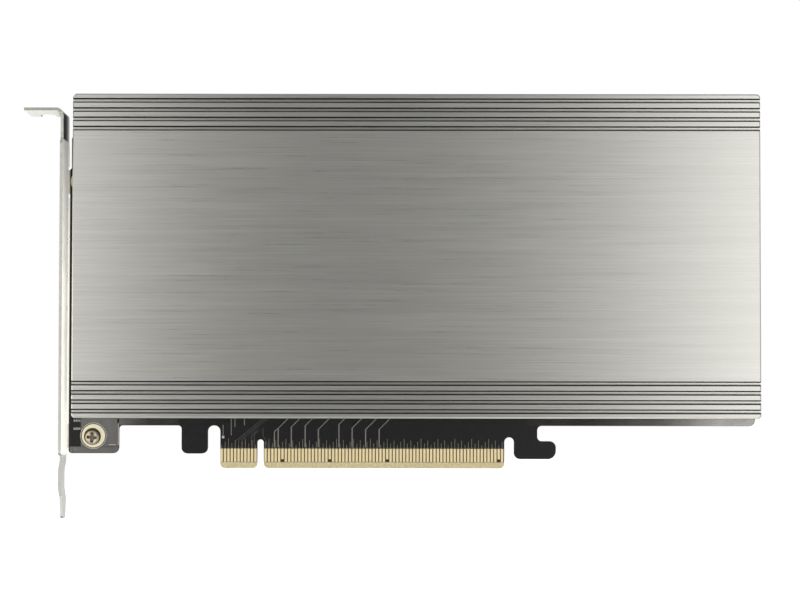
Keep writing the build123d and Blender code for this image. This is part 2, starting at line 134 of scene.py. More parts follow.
# Plain printed marks in front and behind: middle across and up, width and height.
FRONT_MARKS = [(-55.2 + 0.55 * step, level, 0.22, 0.62) for step in range(4) for level in (14.0, 11.6)]
FRONT_MARKS += [(-43.9, 6.9, 2.1, 0.16), (-42.1, 10.1, 0.16, 6.4), (-11.1, 9.2, 0.7, 0.7)]
BACK_MARKS = [(74.6, 13.4, 0.9, 0.9), (-14.0, 13.9, 0.9, 0.9)]
for bay_level in BAY_LEVELS:
    BACK_MARKS += [(-44.0, bay_level + 4.2, 0.16, 3.0), (-46.0, bay_level - 4.2, 4.0, 0.16)]
    BACK_MARKS += [(68.0, bay_level, 0.2, 21.0)]
# Fields of vias behind: first place, count across and up, and spacing.
VIA_FIELDS = [(-50.0, 110.2, 64, 1, 3.0)]
for bay_level in BAY_LEVELS:
    VIA_FIELDS += [(82.0, bay_level - 2.0, 4, 4, 1.3), (74.2, bay_level - 1.3, 3, 3, 1.3)]
    VIA_FIELDS += [(70.6, bay_level - 8.5, 1, 18, 1.0)]
    VIA_FIELDS += [(92.0, bay_level - 5.2, 3, 2, 1.4), (92.0, bay_level + 3.8, 3, 2, 1.4)]
# The domed head of a screw: radius and rise of each step, as shares of the head's own.
HEAD_PROFILE = ((1.0, 0.0), (1.0, 0.5), (0.93, 0.28), (0.78, 0.15), (0.55, 0.07))

# The camera's place, and its turns in radians.
CAMERA_PLACE = (CENTRE_X, -870 * MM, 12.59 * MM)
CAMERA_LENS = 131.98
CAMERA_PITCH = 0.04287
CAMERA_ROLL = -0.00136
CAMERA_YAW = 0.00161
# Brightness of the studio in reflections: degrees to the right of straight in front, and the levels there.
SCREEN_ANGLES = (-45, -20, -10, -8.6, -7.4, -6.2, -4.7, -3.1, -0.8, 1.6, 3.1, 4.7, 6.2, 8, 20, 45)
SCREEN_LEVELS = (0.38, 0.7, 0.58, 1.3, 0.78, 0.08, 0.03, 0.095, 0.12, 0.145, 0.18, 0.31, 0.71, 1.0, 0.85, 0.4)
# The same from straight below, at 0, to straight above, at 1.
HEIGHT_LEVELS = ((0, 0.8), (0.3, 1.0), (0.5, 0.9), (0.65, 0.7), (0.8, 0.42), (1, 0.4))
SCREEN_STRENGTH = 2.0
# The lamp for the bracket: what it aims at, and its turn to the right, distance, size and power.
BRACKET_AIM = Vector((-0.0574, 0, 0.03))
BRACKET_LAMP_TURN = math.radians(9)
BRACKET_LAMP_DISTANCE = 1.2
BRACKET_LAMP_SIZE = 0.05
BRACKET_LAMP_POWER = 75.0

FACING_FRONT = (math.pi / 2, 0, 0)
# How near to the place that is asked for a vertex has to lie when it is selected.
NEAR = 0.01 * MM


def linear(hex_colour):
    """An sRGB hex colour as the linear colour that a shader takes."""
    channels = [int(hex_colour[i : i + 2], 16) / 255 for i in (1, 3, 5)]
    return [c / 12.92 if c <= 0.04045 else ((c + 0.055) / 1.055) ** 2.4 for c in channels] + [1.0]


WHITE = linear("#FFFFFF")


def colour(name, description, hex_colour):
    """A colour that a user may change."""
    return bpy.props.FloatVectorProperty(
        name=name, description=description, subtype="COLOR", size=4, min=0, max=1, default=linear(hex_colour)
    )


def length(name, description, millimetres):
    """A size that a user may change."""
    return bpy.props.FloatProperty(
        name=name, description=description, unit="LENGTH", min=0, precision=5, default=millimetres * MM
    )


class CardColours(bpy.types.PropertyGroup):
    """Colours of the card's finishes."""

    cover: colour("Cover metal", "Brushed aluminium of the heat-sink cover", "#E2E1DA")
    mask: colour("Solder mask", "Lacquer on both faces of the board", "#0B0B0B")
    laminate: colour("Laminate", "Glass and epoxy under the lacquer", "#3E3222")
    cut_edge: colour("Cut edge", "Milled edge of the laminate", "#A8A294")
    bevel: colour("Bevelled edge", "Ground edge below the contacts", "#E0D2A6")
    back_trace: colour("Deep copper", "Copper seen through thicker lacquer", "#494843")
    # Painted shadow: the dark band that shows round the bracket's screw heads.
    screw_shadow: colour("Flux stain", "The stained band round the screw hole", "#3A2C14")
    trace: colour("Lacquered copper", "Copper traces seen through the lacquer", "#8A8780")
    ring: colour("Ring gold", "Thin gold on the rings round the screws", "#F5EBCB")
    pour: colour("Copper plane", "Broad copper areas seen through the lacquer", "#7C7A76")
    gold: colour("Gold", "Hard gold on the edge contacts", "#F2E0B2")
    bracket: colour("Bracket metal", "Plated steel of the slot bracket", "#D8D7D0")
    # Painted light: the paler colour of the bracket's inner faces and its flange's underside, where more light falls.
    painted_lit_inside: colour("Bracket inside", "Milky zinc on the bracket's face towards the board", "#F2F0E8")
    screw: colour("Screw metal", "Plated steel of the screws", "#C4BAA8")
    plastic: colour("Socket plastic", "Moulded sockets and chip bodies", "#1A1A1C")
    print_ink: colour("Printing", "Printed marks on the board", "#D8D8D4")


class CardSizes(bpy.types.PropertyGroup):
    """Sizes of the card's finish."""

    edge_round: length("Edge round", "Rounding of the bracket's and cover's sharp edges", 0.12)
    trace_width: length("Trace width", "Width of a copper trace under the lacquer", 0.22)
    trace_height: length("Trace height", "How far a trace stands up under the lacquer", 0.035)
    brush_spacing: length("Brush spacing", "Distance between two brush lines on the cover", 0.24)
    brush_length: length("Brush length", "Length of a brush line on the cover", 30)


# Shader nodes: one function adds a node with its settings and links, and the others build on it.


def add_node(tree, kind, inputs=None, **settings):
    """Adds a node; each input is a value, or the output that feeds it."""
    made = tree.nodes.new(kind)
    for name, value in settings.items():
        setattr(made, name, value)
    for name, value in (inputs or {}).items():
        if isinstance(value, bpy.types.NodeSocket):
            tree.links.new(value, made.inputs[name])
        else:
            made.inputs[name].default_value = value
    return made


def new_material(name):
    """A material with an empty tree, and the tree; a material that was made before is emptied."""
    made = bpy.data.materials.get(name) or bpy.data.materials.new(name)
    made.use_nodes = True
    made.node_tree.nodes.clear()
    return made, made.node_tree


def finish_shader(tree, base, roughness, metallic, others=None):
    """Adds the Principled shader with these sockets, and the output."""
    inputs = {"Base Color": base, "Roughness": roughness, "Metallic": metallic, **(others or {})}
    shader = add_node(tree, "ShaderNodeBsdfPrincipled", inputs)
    add_node(tree, "ShaderNodeOutputMaterial", {"Surface": shader.outputs[0]})


def axes_of(tree, kind="Object"):
    """The place on the piece as X, Y and Z, or with kind "Normal" the way that its surface faces."""
    place = add_node(tree, "ShaderNodeTexCoord")
    return add_node(tree, "ShaderNodeSeparateXYZ", {"Vector": place.outputs[kind]}).outputs


def noise(tree, scale, detail=2.0, roughness=0.5):
    """A noise pattern on the object's coordinates, stretched by scale."""
    place = add_node(tree, "ShaderNodeTexCoord")
    vector = add_node(tree, "ShaderNodeMapping", {"Vector": place.outputs["Object"], "Scale": scale})
    inputs = {"Vector": vector.outputs[0], "Scale": 1.0, "Detail": detail, "Roughness": roughness}
    return add_node(tree, "ShaderNodeTexNoise", inputs).outputs["Fac"]


def grain_of(tree, size, detail=3.0):
    """A noise pattern of this grain size in millimetres."""
    return noise(tree, (1 / (size * MM),) * 3, detail)


def spread(tree, value, low, high, source_low=0.3, source_high=0.7):
    """Maps the source range, which is the usual range of a noise, to low and high."""
    inputs = {"Value": value, "From Min": source_low, "From Max": source_high, "To Min": low, "To Max": high}
    return add_node(tree, "ShaderNodeMapRange", inputs).outputs["Result"]


def between(tree, axis, low, high, start, end):
    """Goes from low to high between two places on an axis, in millimetres."""
    return spread(tree, axis, low, high, start * MM, end * MM)


def maths(tree, operation, first, second=0.0):
    """One sum on two values."""
    return add_node(tree, "ShaderNodeMath", {0: first, 1: second}, operation=operation).outputs[0]


def times(tree, product, *factors):
    """The product of all these values."""
    for factor in factors:
        product = maths(tree, "MULTIPLY", product, factor)
    return product


def rest_of(tree, share):
    """What a share leaves of 1."""
    return maths(tree, "SUBTRACT", 1.0, share)


def mix_colours(tree, factor, first, second, blend="MIX"):
    """A mix of two colours."""
    inputs = {0: factor, 6: first, 7: second}
    return add_node(tree, "ShaderNodeMix", inputs, data_type="RGBA", blend_type=blend).outputs[2]


def tint(tree, flat, factor):
    """A flat colour made lighter or darker by a factor round 1."""
    grey = add_node(tree, "ShaderNodeCombineColor", {"Red": factor, "Green": factor, "Blue": factor})
    return mix_colours(tree, 1.0, flat, grey.outputs[0], "MULTIPLY")


def bumps(tree, height, strength, distance):
    """A normal that follows this height, with the distance in millimetres."""
    inputs = {"Strength": strength, "Distance": distance * MM, "Height": height}
    return add_node(tree, "ShaderNodeBump", inputs).outputs[0]


def mix_shaders(tree, factor, first, second):
    """A mix of two shaders."""
    return add_node(tree, "ShaderNodeMixShader", {0: factor, 1: first, 2: second}).outputs[0]


# Materials, each for one finish; some paint light or shade, as their comments say.


def brushed_aluminium():
    """Brushed and clear anodised aluminium: long fine lines, highlights stretched across them."""
    made, tree = new_material("brushed_aluminium")
    sizes, colours = bpy.context.scene.card_sizes, bpy.context.scene.card_colours
    along, across = 1 / sizes.brush_length, 1 / sizes.brush_spacing
    lines = noise(tree, (along, across, across), 3.0, 0.65)
    bands = noise(tree, (along / 3, across / 9, across / 9))
    both = maths(tree, "ADD", times(tree, lines, 0.75), times(tree, bands, 0.25))
    # The brush lines' tone, times the painted shade on the grooves' flanks.
    shade = times(tree, spread(tree, both, 0.89, 1.1), groove_shade(tree))
    stretch = add_node(tree, "ShaderNodeCombineXYZ", {"X": 0.05, "Y": 0.0, "Z": 1.0}).outputs[0]
    others = {"Anisotropic": 1.0, "Normal": bumps(tree, lines, 0.08, 0.02), "Tangent": stretch}
    finish_shader(tree, tint(tree, colours.cover, shade), spread(tree, lines, 0.27, 0.33), 1.0, others)
    return made


def groove_shade(tree):
    """1 on open faces, and dark on the steep flanks inside the cover's grooves: painted shade, where the grooves'
    walls lie in shade.
    """
    low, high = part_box("heatsink_cover")
    first_depth, last_depth, rim, darkening = 0.13 * MM, 1.0 * MM, 0.6 * MM, 0.96
    axes, facing = axes_of(tree), axes_of(tree, "Normal")
    steep = spread(tree, maths(tree, "ABSOLUTE", facing["Z"]), 0.0, 1.0, 0.35, 0.6)
    below_face = maths(tree, "GREATER_THAN", axes["Y"], low.y + first_depth)
    above_floor = maths(tree, "LESS_THAN", axes["Y"], low.y + last_depth)
    from_middle = maths(tree, "ABSOLUTE", maths(tree, "SUBTRACT", axes["Z"], (low.z + high.z) / 2))
    inside = maths(tree, "LESS_THAN", from_middle, (high.z - low.z) / 2 - rim)
    return rest_of(tree, times(tree, below_face, above_floor, inside, steep, darkening))


def board_finish():
    """Black lacquered board: satin mask on both faces, bare laminate round the contacts, pale milled edges."""
    made, tree = new_material("lacquered_board")
    colours = bpy.context.scene.card_colours
    axes, facing = axes_of(tree), axes_of(tree, "Normal")
    grain = grain_of(tree, 0.6)
    level = maths(tree, "ABSOLUTE", facing["Y"])
    flat = maths(tree, "GREATER_THAN", level, 0.999)
    slanted = maths(tree, "GREATER_THAN", level, 0.5)
    low = maths(tree, "LESS_THAN", axes["Z"], CONTACT_TOP * MM)
    past_tabs = maths(tree, "GREATER_THAN", axes["X"], TONGUES[0] * MM)
    on_tongue = maths(tree, "LESS_THAN", axes["X"], TONGUES[1] * MM)
    mask = tint(tree, colours.mask, spread(tree, grain, 0.85, 1.15))
    laminate = tint(tree, colours.laminate, spread(tree, grain, 0.8, 1.2))
    face = mix_colours(tree, times(tree, low, past_tabs, on_tongue), mask, laminate)
    milled = mix_colours(tree, slanted, colours.cut_edge, colours.bevel)
    edge = tint(tree, milled, spread(tree, grain, 0.8, 1.15))
    others = {"Specular IOR Level": 0.4, "Normal": bumps(tree, grain, 0.06, 0.02)}
    finish_shader(tree, mix_colours(tree, flat, edge, face), spread(tree, grain, 0.2, 0.26), 0.0, others)
    return made


def lacquered_plane():
    """A broad copper area under the lacquer that mirrors the room darkly; its colour is lighter past the hook, towards
    the right end and beside the bracket.
    """
    made, tree = new_material("lacquered_copper_plane")
    across = axes_of(tree)["X"]
    cloud = grain_of(tree, 4.0, 2.0)
    past_hook = between(tree, across, 0.22, 0.6, 98.0, 118.0)
    at_end = between(tree, across, 0.0, 1.3, 119.0, 135.0)
    left_half = maths(tree, "LESS_THAN", across, 0.0)
    by_bracket = times(tree, between(tree, across, 1.0, 0.3, -43.0, -33.0), left_half)
    lighter_by_place = maths(tree, "MAXIMUM", maths(tree, "ADD", past_hook, at_end), by_bracket)
    shade = times(tree, lighter_by_place, spread(tree, cloud, 0.92, 1.08))
    finish_shader(tree, tint(tree, bpy.context.scene.card_colours.pour, shade), spread(tree, cloud, 0.22, 0.26), 1.0)
    return made


def bracket_steel():
    """Zinc plated mild steel, pale satin; painted light makes its inner faces and the flange's underside a paler
    non-metal, and painted shade darkens the flange, the upper inner blade and the neck's inner face.
    """
    made, tree = new_material("plated_steel_sheet")
    colours = bpy.context.scene.card_colours
    axes, facing = axes_of(tree), axes_of(tree, "Normal")
    blade = between(tree, axes["Z"], 1.0, 0.0, NECK_LEVEL - 1.3, NECK_LEVEL - 0.6)
    neck = rest_of(tree, blade)
    above_tongue = between(tree, axes["Z"], 0.4, 1.0, 3.6, 4.4)
    inside = maths(tree, "GREATER_THAN", facing["X"], 0.95)
    inner_blade = times(tree, inside, blade, above_tongue)
    under_flange = times(tree, neck, maths(tree, "LESS_THAN", facing["Z"], -0.95))
    # Painted light: the inner faces and the flange's underside take a paler, non-metal copy of the finish.
    painted_lit_inside = maths(tree, "MAXIMUM", inner_blade, under_flange)
    bare = rest_of(tree, painted_lit_inside)
    # Painted shade: the neck's inner face goes dark towards the front edge, and its reflection is dimmed as well.
    backwards = maths(tree, "POWER", between(tree, axes["Y"], 0.0, 0.97, -10.0, -1.0), 2.0)
    neck_shade = times(tree, inside, neck, maths(tree, "SUBTRACT", 0.97, backwards))
    # Painted shade on the flange, and on the inner blade, darker towards its top.
    flange = times(tree, between(tree, axes["Z"], 0.0, 0.3, FLANGE_LEVEL, FLANGE_LEVEL + 0.4), bare)
    upper = times(tree, inner_blade, between(tree, axes["Z"], 0.0, 0.5, 50.0, 95.0))
    painted_shade = maths(tree, "MAXIMUM", maths(tree, "MAXIMUM", neck_shade, flange), upper)
    shade = times(tree, rest_of(tree, painted_shade), spread(tree, grain_of(tree, 1.5), 0.93, 1.05))
    base = tint(tree, mix_colours(tree, painted_lit_inside, colours.bracket, colours.painted_lit_inside), shade)
    others = {"Specular Tint": tint(tree, WHITE, rest_of(tree, neck_shade))}
    finish_shader(tree, base, spread(tree, painted_lit_inside, 0.2, 0.5), bare, others)
    return made


def capped_ceramic():
    """Fired ceramic block with tinned end caps: brown in the middle, bright at both ends."""
    made, tree = new_material("capped_ceramic")
    low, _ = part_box("ceramic_capacitors")
    pitch, half_length, half_bare = 4.0 * MM, 1.0 * MM, 0.68 * MM
    step = maths(tree, "MODULO", maths(tree, "SUBTRACT", axes_of(tree)["X"], low.x), pitch)
    from_middle = maths(tree, "ABSOLUTE", maths(tree, "SUBTRACT", step, half_length))
    cap = maths(tree, "GREATER_THAN", from_middle, half_bare)
    grain = grain_of(tree, 0.2)
    brown = tint(tree, linear("#9A7F5E"), spread(tree, grain, 0.9, 1.1))
    finish_shader(tree, mix_colours(tree, cap, brown, linear("#C4C4C2")), spread(tree, grain, 0.32, 0.42), cap)
    return made


# Finishes that are the same all over: colour or the property that holds it, roughness, and grain in millimetres.
METALS = {
    # Thin gold over nickel: paler than the hard gold of the contacts.
    "thin_ring_gold": ("ring", 0.4, 0.3),
    # Hard gold over nickel: pale, satin, and a little cloudy.
    "hard_gold_plate": ("gold", 0.5, 0.5),
    # Nickel plated steel: smooth and a little warm.
    "nickel_plated_screw": ("screw", 0.22, 0.4),
    # The walls and floor of a screw's recess: the screw's metal painted darker than the head, as painted shade.
    "painted_recess_shade": ("#857A68", 0.16, 0.3),
    "matt_tin_plate": ("#B9BABC", 0.38, 0.3),
    "nickel_plated_brass": ("#CFC7AE", 0.25, 0.6),
}
MOULDINGS = {
    # Copper traces under the black lacquer: lighter than the board, and satin.
    "lacquered_copper_trace": ("trace", 0.3, 0.4),
    # Copper under thicker lacquer: hardly lighter than the board.
    "lacquered_copper_behind": ("back_trace", 0.3, 0.4),
    # Painted shadow: a dark brown band in the mouth of a screw hole, beside the screw's head, satin.
    "painted_screw_shadow": ("screw_shadow", 0.4, 0.2),
    # White epoxy ink: matt, and slightly uneven.
    "white_printing_ink": ("print_ink", 0.6, 0.15),
    "liquid_crystal_polymer": ("plastic", 0.45, 0.3),
    "filled_silicone_pad": ("#8D97A6", 0.8, 0.5),
    "epoxy_moulding": ("plastic", 0.5, 0.2),
    "pressed_iron_powder": ("#3A3B3D", 0.6, 0.25),
    "moulded_capacitor_case": ("#2B2A28", 0.45, 0.25),
    "clear_light_lens": ("#E9EBE4", 0.2, 0.4),
}


def plain_finish(name):
    """A metal with a fine cloudy finish, or another stuff with a fine raised grain."""
    made, tree = new_material(name)
    metal = name in METALS
    flat, roughness, size = METALS[name] if metal else MOULDINGS[name]
    flat = linear(flat) if flat.startswith("#") else getattr(bpy.context.scene.card_colours, flat)
    grain = grain_of(tree, size)
    darkest, lightest, uneven = (0.93, 1.05, 0.15) if metal else (0.88, 1.12, 0.12)
    base = tint(tree, flat, spread(tree, grain, darkest, lightest))
    rough = spread(tree, grain, roughness * (1 - uneven), roughness * (1 + uneven))
    finish_shader(tree, base, rough, float(metal), None if metal else {"Normal": bumps(tree, grain, 0.2, 0.01)})
    return made


# Modelling: what a maker does with the mesh tools.


def select_only(piece):
    """Nothing but this piece is selected, and it is active."""
    if bpy.context.object and bpy.context.object.mode != "OBJECT":
        bpy.ops.object.mode_set(mode="OBJECT")
    bpy.ops.object.select_all(action="DESELECT")
    piece.select_set(True)
    bpy.context.view_layer.objects.active = piece


def edit_faces(piece, wanted, kind="FACE"):
    """Goes into edit mode with the wanted faces selected, or with kind "EDGE" the wanted edges."""
    select_only(piece)
    bpy.ops.object.mode_set(mode="EDIT")
    bpy.ops.mesh.select_mode(type=kind)
    bpy.ops.mesh.select_all(action="DESELECT")
    mesh = bmesh.from_edit_mesh(piece.data)
    for part in mesh.faces if kind == "FACE" else mesh.edges:
        part.select_set(wanted(part))
    bmesh.update_edit_mesh(piece.data)


def edit_edges(piece, wanted):
    """Goes into edit mode with the wanted edges selected."""
    edit_faces(piece, wanted, "EDGE")


def leave_edit():
    """Back to object mode."""
    bpy.ops.object.mode_set(mode="OBJECT")


def paint(piece, material):
    """The piece has this material alone."""
    piece.data.materials.clear()
    piece.data.materials.append(material)
    for polygon in piece.data.polygons:
        polygon.material_index = 0


def paint_node(node, material):
    """A solid that keeps its own shape takes this material."""
    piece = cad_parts[node]
    if not piece.material_slots:
        piece.data.materials.append(material)
    for place in piece.material_slots:
        place.material = material


def copy_solid(node, name):
    """A clean copy of a solid's mesh: doubles merged, flat faces joined."""
    piece = bpy.data.objects.new(name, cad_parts[node].data.copy())
    bpy.context.scene.collection.objects.link(piece)
    edit_faces(piece, lambda face: True)
    bpy.ops.mesh.remove_doubles(threshold=0.001 * MM)
    bpy.ops.mesh.dissolve_limited(angle_limit=math.radians(0.5))
    leave_edit()
    return piece


def round_edges(piece, width):
    """Rounds the sharp edges and shades the piece smooth between them."""
    select_only(piece)
    bevel = piece.modifiers.new("edge_round", "BEVEL")
    bevel.width = width
    bevel.segments = 2
    bevel.limit_method = "ANGLE"
    bevel.angle_limit = math.radians(30)
    bevel.use_clamp_overlap = True
    bpy.ops.object.modifier_apply(modifier=bevel.name)
    bpy.ops.object.shade_smooth_by_angle(angle=math.radians(40))
    weighted = piece.modifiers.new("even_shading", "WEIGHTED_NORMAL")
    weighted.keep_sharp = True
    weighted.weight = 100
    bpy.ops.object.modifier_apply(modifier=weighted.name)


def repeat(piece, count, shift):
    """Repeats the piece in a row, each copy moved on by shift."""
    select_only(piece)
    row = piece.modifiers.new("row", "ARRAY")
    row.count = count
    row.use_relative_offset = False
    row.use_constant_offset = True
    row.constant_offset_displace = shift
    bpy.ops.object.modifier_apply(modifier=row.name)


def cut_away(piece, cutter):
    """Cuts one piece out of another, and removes the cutter."""
    select_only(piece)
    cut = piece.modifiers.new("cut", "BOOLEAN")
    cut.object = cutter
    cut.operation = "DIFFERENCE"
    bpy.ops.object.modifier_apply(modifier=cut.name)
    bpy.data.objects.remove(cutter)


def start_piece(name, primitive, scale=(1, 1, 1), **settings):
    """A primitive as the start of a piece, with its place, turn and scale applied."""
    bpy.ops.object.select_all(action="DESELECT")
    primitive(**settings)
    piece = bpy.context.object
    piece.name = name
    piece.scale = scale
    bpy.ops.object.transform_apply(location=True, rotation=True, scale=True)
    return piece


def start_block(name, low, high):
    """A block between two corners, in metres, as the start of a piece."""
    middle = [(a + b) / 2 for a, b in zip(low, high)]
    scale = [b - a for a, b in zip(low, high)]
    return start_piece(name, bpy.ops.mesh.primitive_cube_add, scale, size=1, location=middle)


def start_slab(name, low, high, front=-2 * BOARD_FACE, back=2 * BOARD_FACE):
    """A block from front to back between two corners in millimetres; as it is, it reaches through the board."""
    return start_block(name, (low[0] * MM, front, low[1] * MM), (high[0] * MM, back, high[1] * MM))


def start_ring(name, place, radius, edges=32):
    """A circle of edges that faces the covered side, as the start of a ring or a round part."""
    circle = bpy.ops.mesh.primitive_circle_add
    return start_piece(name, circle, vertices=edges, radius=radius, location=place, rotation=FACING_FRONT)


def round_bar(x, z, radius):
    """A round bar along Y, longer than the board is thick, to cut with: its place and radius in millimetres."""
    sizes = {"vertices": 48, "radius": radius * MM, "depth": 6 * BOARD_FACE}
    place = {"location": (x * MM, 0, z * MM), "rotation": FACING_FRONT}
    return start_piece("bar", bpy.ops.mesh.primitive_cylinder_add, **sizes, **place)


def corner_waste(x, z, across, up, radius):
    """What comes off when an outer corner of the board is rounded: its place, the way out, and the radius."""
    margin = 0.3
    middle_x, middle_z = x - across * radius, z - up * radius
    left, right = sorted((middle_x, x + across * margin))
    low, high = sorted((middle_z, z + up * margin))
    waste = start_slab("waste", (left, low), (right, high))
    cut_away(waste, round_bar(middle_x, middle_z, radius))
    return waste


def copy_piece(piece, name, shift):
    """A copy with its own mesh, moved by shift."""
    made = piece.copy()
    made.data = piece.data.copy()
    made.name = name
    made.data.transform(Matrix.Translation(shift))
    bpy.context.scene.collection.objects.link(made)
    return made


def join_pieces(pieces, name):
    """Joins several pieces into one."""
    select_only(pieces[0])
    for piece in pieces:
        piece.select_set(True)
    bpy.ops.object.join()
    pieces[0].name = name
    return pieces[0]


def extrude_by(shift):
    """Extrudes what is selected in edit mode."""
    bpy.ops.mesh.extrude_region_move(TRANSFORM_OT_translate={"value": shift})


def grow_about(centre, factor):
    """Scales what is selected in edit mode, in the board's plane, about a point."""
    bpy.ops.transform.resize(value=(factor, 1, factor), center_override=centre)


def size_rim(piece, radius):
    """Brings the rim that is selected in edit mode to this radius about the Y axis."""
    mesh = bmesh.from_edit_mesh(piece.data)
    rim = max(math.hypot(vertex.co.x, vertex.co.z) for vertex in mesh.verts if vertex.select)
    grow_about((0, 0, 0), radius / rim)


def close_ends_outwards(piece):
    """Closes open ends and points every face outwards."""
    select_only(piece)
    bpy.ops.object.mode_set(mode="EDIT")
    bpy.ops.mesh.select_all(action="SELECT")
    bpy.ops.mesh.remove_doubles(threshold=0.0001 * MM)
    bpy.ops.mesh.fill_holes(sides=0)
    bpy.ops.mesh.select_all(action="SELECT")
    bpy.ops.mesh.normals_make_consistent(inside=False)
    leave_edit()


def flat_ring(place, inner, outer, rise):
    """A flat ring on the board, that stands up by rise along Y."""
    piece = start_ring("ring", place, outer)
    edit_edges(piece, lambda edge: True)
    extrude_by((0, 0, 0))
    grow_about(place, inner / outer)
    bpy.ops.mesh.select_all(action="SELECT")
    extrude_by((0, rise, 0))
    leave_edit()
    close_ends_outwards(piece)
    return piece


def lay_strip(points, width, side, rise):
    """A strip on one face of the board, first upright and then along the points, which are in millimetres."""
    (x, start), (_, end) = points[:2]
    scale, middle = (width, (end - start) * MM, 1), (x * MM, side * BOARD_FACE, (start + end) / 2 * MM)
    plane = bpy.ops.mesh.primitive_plane_add
    piece = start_piece("strip", plane, scale, size=1, location=middle, rotation=FACING_FRONT)
    for before, after in zip(points[1:], points[2:]):
        top = max(vertex.co.z for vertex in piece.data.vertices)
        edit_edges(piece, lambda edge: all(top - vertex.co.z < 0.1 * NEAR for vertex in edge.verts))
        extrude_by(((after[0] - before[0]) * MM, 0, (after[1] - before[1]) * MM))
        leave_edit()
    edit_faces(piece, lambda face: True)
    extrude_by((0, side * rise, 0))
    leave_edit()
    close_ends_outwards(piece)
    return piece


def place_piece(piece, slot, *nodes):
    """The finished piece rides on the card and stands for these solids."""
    select_only(piece)
    bpy.ops.object.transform_apply(location=True, rotation=True, scale=True)
    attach(piece, BODY)
    if nodes:
        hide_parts(*nodes)


def finish_trim(pieces, name, material, slot="board_laminate"):
    """Joins these pieces, which stand for no solid, and finishes them as one."""
    piece = join_pieces(pieces, name)
    paint(piece, material)
    place_piece(piece, slot)


def round_solid(node, name, width, material, slot):
    """Copies a solid, rounds its edges and finishes it."""
    piece = copy_solid(node, name)
    round_edges(piece, width)
    paint(piece, material)
    place_piece(piece, slot, node)


# Pieces: one operator for each piece, or for a group of like pieces.


class CARD_OT_cover(bpy.types.Operator):
    """Cuts the heat-sink cover's upper corner at the bracket, rounds its edges and gives it its brushed metal."""

    bl_idname = "card.cover"
    bl_label = "Heat-sink cover"

    def execute(self, context):
        piece = copy_solid("heatsink_cover", "brushed_cover_extrusion")
        cut_away(piece, self.corner_waste())
        round_edges(piece, context.scene.card_sizes.edge_round)
        paint(piece, brushed_aluminium())
        place_piece(piece, "brushed_cover", "heatsink_cover")
        return {"FINISHED"}

    def corner_waste(self):
        """What comes off the upper corner beside the bracket: a slanting cut, wide across and down as given here."""
        low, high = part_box("heatsink_cover")
        across, down, margin = 0.85 * MM, 1.04 * MM, 0.3 * MM
        inner, lowest = low.x + across + margin * across / down, high.z - down - margin * down / across
        outer = (low.x - margin, low.y - margin, lowest)
        waste = start_block("waste", outer, (inner, high.y + margin, high.z + margin))
        edit_edges(waste, lambda edge: all(v.co.x > low.x and v.co.z < high.z for v in edge.verts))
        bpy.ops.transform.translate(value=(0, 0, high.z + margin - lowest))
        bpy.ops.mesh.select_all(action="SELECT")
        bpy.ops.mesh.remove_doubles(threshold=0.001 * MM)
        leave_edit()
        return waste


class CARD_OT_board(bpy.types.Operator):
    """Trims the short tongue, rounds the outer corners, adds the step on the end, and lacquers the circuit board."""

    bl_idname = "card.board"
    bl_label = "Circuit board"

    def execute(self, context):
        name = "lacquered_circuit_board"
        piece = copy_solid("circuit_board", name)
        cut_away(piece, start_slab("waste", (-12.5, -0.5), (TONGUE_EDGE, ARCH_LEVEL)))
        cut_away(piece, round_bar(ARCH_X, ARCH_LEVEL, ARCH_RADIUS))
        for corner in ROUND_CORNERS:
            cut_away(piece, corner_waste(*corner))
        piece = join_pieces([piece, self.end_step()], name)
        select_only(piece)
        bpy.ops.mesh.customdata_custom_splitnormals_clear()
        bpy.ops.object.shade_smooth_by_angle(angle=math.radians(8))
        paint(piece, board_finish())
        place_piece(piece, "board_laminate", "circuit_board")
        return {"FINISHED"}

    def end_step(self):
        """The step on the board's end, with its upper outer edge bevelled."""
        (left, _), (_, top) = END_STEP
        step = start_slab("step", *END_STEP, -BOARD_FACE, BOARD_FACE)
        edit_edges(step, lambda edge: all(v.co.x < left * MM + NEAR and v.co.z > top * MM - NEAR for v in edge.verts))
        bpy.ops.mesh.bevel(offset=0.5 * MM, segments=3)
        leave_edit()
        return step


class CARD_OT_contacts(bpy.types.Operator):
    """Plates the edge contacts and the screw rings."""

    bl_idname = "card.contacts"
    bl_label = "Edge contacts and rings"

    def execute(self, context):
        for node in ("edge_contacts_front", "edge_contacts_back"):
            paint_node(node, plain_finish("hard_gold_plate"))
        paint_node("plated_rings", plain_finish("thin_ring_gold"))
        return {"FINISHED"}


